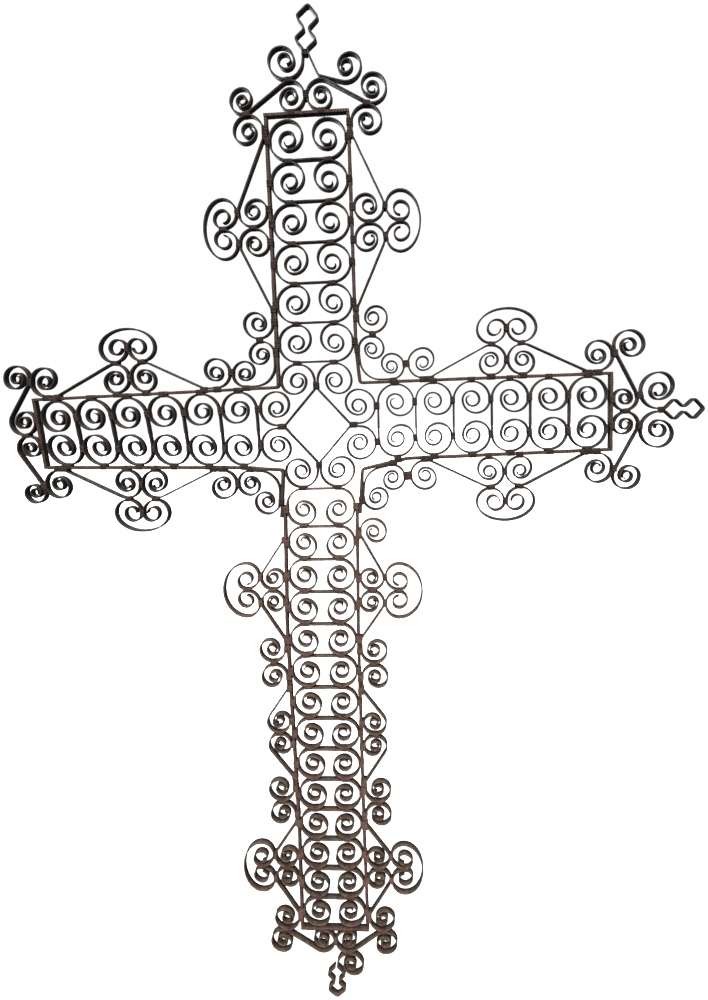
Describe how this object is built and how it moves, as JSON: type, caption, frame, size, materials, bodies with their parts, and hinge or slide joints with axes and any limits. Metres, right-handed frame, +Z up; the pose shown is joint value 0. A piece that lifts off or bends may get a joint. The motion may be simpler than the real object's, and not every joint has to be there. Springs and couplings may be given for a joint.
{
  "type": "wrought iron scrollwork cross",
  "caption": "Openwork wall cross of flat iron strips bent into scrolls between rails, with side lobes, scrolled arm ends and diamond finials",
  "frame": {"origin": "middle of the back edge of the end bar on the top arm, where the cross is hung", "axes": "+Z up along the cross, the front looks to -Y and the back lies in the plane y = 0, +X to the viewer's right"},
  "size_m": [1.0256, 0.0152, 1.5089],
  "materials": {
    "dark_iron": "dark oxidised, worn edges",
    "rusty_iron": "brown rust"
  },
  "bodies": {
    "root": {"bar_left": "dark_iron", "bar_lower": "rusty_iron", "bar_right": "dark_iron", "bar_top": "dark_iron", "corner_lower_left": "dark_iron", "corner_lower_right": "dark_iron", "corner_scroll_lower_left": "dark_iron", "corner_scroll_lower_right": "dark_iron", "corner_scroll_upper_left": "dark_iron", "corner_scroll_upper_right": "dark_iron", "corner_upper_left": "dark_iron", "corner_upper_right": "dark_iron", "diamond_lower_left": "dark_iron", "diamond_lower_right": "dark_iron", "diamond_upper_left": "dark_iron", "diamond_upper_right": "dark_iron", "end_left": "dark_iron", "end_lower": "rusty_iron", "end_right": "dark_iron", "end_top": "dark_iron", "lobe_left_lower": "dark_iron", "lobe_left_upper": "dark_iron", "lobe_lower_left_1": "rusty_iron", "lobe_lower_left_2": "rusty_iron", "lobe_lower_right_1": "rusty_iron", "lobe_lower_right_2": "rusty_iron", "lobe_right_lower": "dark_iron", "lobe_right_upper": "dark_iron", "lobe_top_left": "dark_iron", "lobe_top_right": "dark_iron", "rail_lower_left": "rusty_iron", "rail_lower_right": "rusty_iron", "row_left_1": "dark_iron", "row_left_2": "dark_iron", "row_left_3": "dark_iron", "row_left_4": "dark_iron", "row_left_5": "dark_iron", "row_left_6": "dark_iron", "row_right_1": "dark_iron", "row_right_2": "dark_iron", "row_right_3": "dark_iron", "row_right_4": "dark_iron", "row_right_5": "dark_iron", "row_right_6": "dark_iron", "row_top_1": "dark_iron", "row_top_2": "dark_iron", "row_top_3": "dark_iron", "row_top_4": "dark_iron", "row_top_5": "dark_iron", "row_top_6": "dark_iron", "rows_lower_1": "rusty_iron", "rows_lower_2": "rusty_iron", "rows_lower_3": "rusty_iron", "rows_lower_4": "rusty_iron", "rows_lower_5": "rusty_iron", "rows_lower_6": "rusty_iron", "rows_lower_7": "rusty_iron", "small_lobe_left": "rusty_iron", "small_lobe_right": "rusty_iron"}
  },
  "joints": []
}
